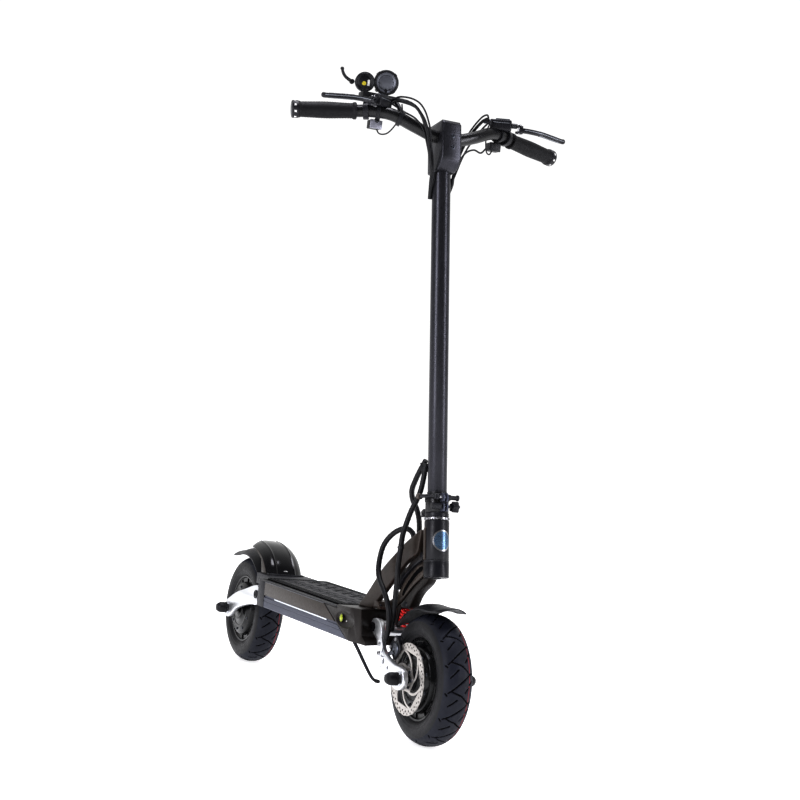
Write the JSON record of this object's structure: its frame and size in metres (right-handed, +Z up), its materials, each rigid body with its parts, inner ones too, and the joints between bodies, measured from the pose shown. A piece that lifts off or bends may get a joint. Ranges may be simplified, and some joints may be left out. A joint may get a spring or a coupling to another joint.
{
  "type": "electric kick scooter",
  "caption": "Folding electric kick scooter with a long footboard, a tall stem, a wide handlebar, sprung swingarms, hub motors, disc brakes and fat tyres.",
  "frame": {"origin": "middle of the wheelbase on the ground, under the deck's centre line", "axes": "+X forward towards the front wheel, +Y to the rider's left, +Z up"},
  "size_m": [1.21, 0.6228, 1.3298],
  "materials": {
    "bronze": "satin bronze-brown paint",
    "slate": "satin anodised blue-grey extrusion",
    "satin_black": "satin black powder coat",
    "black_casing": "moulded black casing",
    "black_plastic": "fine textured black plastic",
    "stem_grey": "satin dark grey anodised tube",
    "steel": "machined steel",
    "spring_red": "glossy red coated spring wire",
    "polished": "polished and lightly brushed aluminium",
    "tread": "matt black rubber with a block tread",
    "mat_rubber": "ribbed dark grey rubber",
    "grip_rubber": "matt black rubber",
    "cable": "matt black sleeve",
    "cell": "shrink-wrapped cell pack",
    "board": "cast housing"
  },
  "bodies": {
    "frame": {"neck_casting": "bronze", "lower_bearing": "steel", "upper_bearing": "steel", "deck_chassis": "slate", "deck_lid": "satin_black", "footboard_mat": "mat_rubber", "side_trim_right": "bronze", "side_trim_left": "bronze", "battery_pack": "cell", "motor_controller": "board", "front_casing": "black_casing", "rear_casing": "black_casing", "rear_pivot_bolt": "steel", "kick_plate": "satin_black", "rear_spring": "spring_red", "stem_sleeve": "cable", "motor_sleeve": "cable"},
    "steerer": {"lower_headset_cup": "satin_black", "fork": "satin_black", "lock_ring": "steel", "stem_hinge_base": "satin_black", "front_spring": "spring_red", "front_pivot_bolt": "steel", "brake_sleeve": "cable"},
    "front_swingarm": {"front_swingarm": "polished", "front_axle": "steel", "front_caliper": "satin_black", "front_fender": "black_casing"},
    "front_wheel": {"front_tyre": "tread", "front_hub": "satin_black", "front_brake_disc": "steel"},
    "rear_swingarm": {"rear_swingarm": "polished", "rear_axle": "steel", "rear_caliper": "satin_black", "rear_fender": "black_casing"},
    "rear_wheel": {"rear_tyre": "tread", "rear_hub": "satin_black", "rear_brake_disc": "steel"},
    "stem": {"stem_tube": "stem_grey", "clamp_collar": "satin_black", "bar_clamp_head": "stem_grey", "handlebar": "stem_grey", "grip_left": "grip_rubber", "grip_right": "grip_rubber", "brake_perch_left": "satin_black", "brake_perch_right": "satin_black", "display_unit": "black_plastic", "headlamp": "black_plastic", "switch_box_right": "black_plastic", "switch_box_left": "black_plastic", "bar_cables_right": "cable", "bar_cables_left": "cable"},
    "brake_lever_left": {"brake_lever_left": "satin_black"},
    "brake_lever_right": {"brake_lever_right": "satin_black"},
    "throttle_trigger": {"throttle_trigger": "black_plastic"},
    "switch_button_left": {"switch_button_left": "black_plastic"},
    "switch_button_right": {"switch_button_right": "black_plastic"},
    "clamp_lever": {"clamp_lever": "satin_black"},
    "clamp_knob": {"clamp_knob": "satin_black"},
    "kickstand": {"kickstand": "satin_black"}
  },
  "joints": [
    {"name": "steering", "type": "hinge", "parent": "frame", "child": "steerer", "pos_m": [0.439, 0, 0.42], "axis": [-0.1927, 0, 0.9813], "range_deg": [-45, 45], "deforming": ["stem_sleeve", "brake_sleeve", "motor_sleeve"]},
    {"name": "stem_fold", "type": "hinge", "parent": "steerer", "child": "stem", "pos_m": [0.40122, 0, 0.44112], "axis": [0, -1, 0], "range_deg": [0, 84], "deforming": ["stem_sleeve", "brake_sleeve"]},
    {"name": "front_suspension", "type": "hinge", "parent": "steerer", "child": "front_swingarm", "pos_m": [0.316, 0, 0.203], "axis": [0, -1, 0], "range_deg": [0, 7], "stiffness_Nm_per_rad": 450, "springref_deg": -5.73, "deforming": ["front_spring", "brake_sleeve", "motor_sleeve"]},
    {"name": "front_wheel_spin", "type": "hinge", "parent": "front_swingarm", "child": "front_wheel", "pos_m": [0.478, 0, 0.127], "axis": [0, 1, 0], "continuous": true},
    {"name": "rear_suspension", "type": "hinge", "parent": "frame", "child": "rear_swingarm", "pos_m": [-0.296, 0, 0.184], "axis": [0, 1, 0], "range_deg": [0, 7], "stiffness_Nm_per_rad": 450, "springref_deg": -5.73, "deforming": ["rear_spring"]},
    {"name": "rear_wheel_spin", "type": "hinge", "parent": "rear_swingarm", "child": "rear_wheel", "pos_m": [-0.478, 0, 0.127], "axis": [0, 1, 0], "continuous": true},
    {"name": "brake_lever_left_pull", "type": "hinge", "parent": "stem", "child": "brake_lever_left", "pos_m": [0.3, 0.17, 1.252], "axis": [0, 0, 1], "range_deg": [0, 15], "stiffness_Nm_per_rad": 1.5, "springref_deg": -5.73},
    {"name": "brake_lever_right_pull", "type": "hinge", "parent": "stem", "child": "brake_lever_right", "pos_m": [0.3, -0.17, 1.252], "axis": [0, 0, -1], "range_deg": [0, 15], "stiffness_Nm_per_rad": 1.5, "springref_deg": -5.73},
    {"name": "throttle", "type": "hinge", "parent": "stem", "child": "throttle_trigger", "pos_m": [0.232, -0.1905, 1.297], "axis": [0.9544, -0.2813, -0.1005], "range_deg": [0, 25], "stiffness_Nm_per_rad": 0.3, "springref_deg": -5.73},
    {"name": "switch_left_press", "type": "slide", "parent": "stem", "child": "switch_button_left", "axis": [1, 0, 0], "range_m": [0, 0.0015], "stiffness_N_per_m": 400, "springref_m": -0.001},
    {"name": "switch_right_press", "type": "slide", "parent": "stem", "child": "switch_button_right", "axis": [1, 0, 0], "range_m": [0, 0.0015], "stiffness_N_per_m": 400, "springref_m": -0.001},
    {"name": "clamp_lever_swing", "type": "hinge", "parent": "stem", "child": "clamp_lever", "pos_m": [0.45863, -0.018, 0.48092], "axis": [-0.1927, 0, 0.9813], "range_deg": [0, 110]},
    {"name": "clamp_knob_turn", "type": "hinge", "parent": "stem", "child": "clamp_knob", "pos_m": [0.4621, 0, 0.46326], "axis": [0, 1, 0], "continuous": true},
    {"name": "kickstand_swing", "type": "hinge", "parent": "frame", "child": "kickstand", "pos_m": [-0.12, 0.078, 0.158], "axis": [-0.02, 0.9205, 0.3902], "range_deg": [0, 100]}
  ]
}
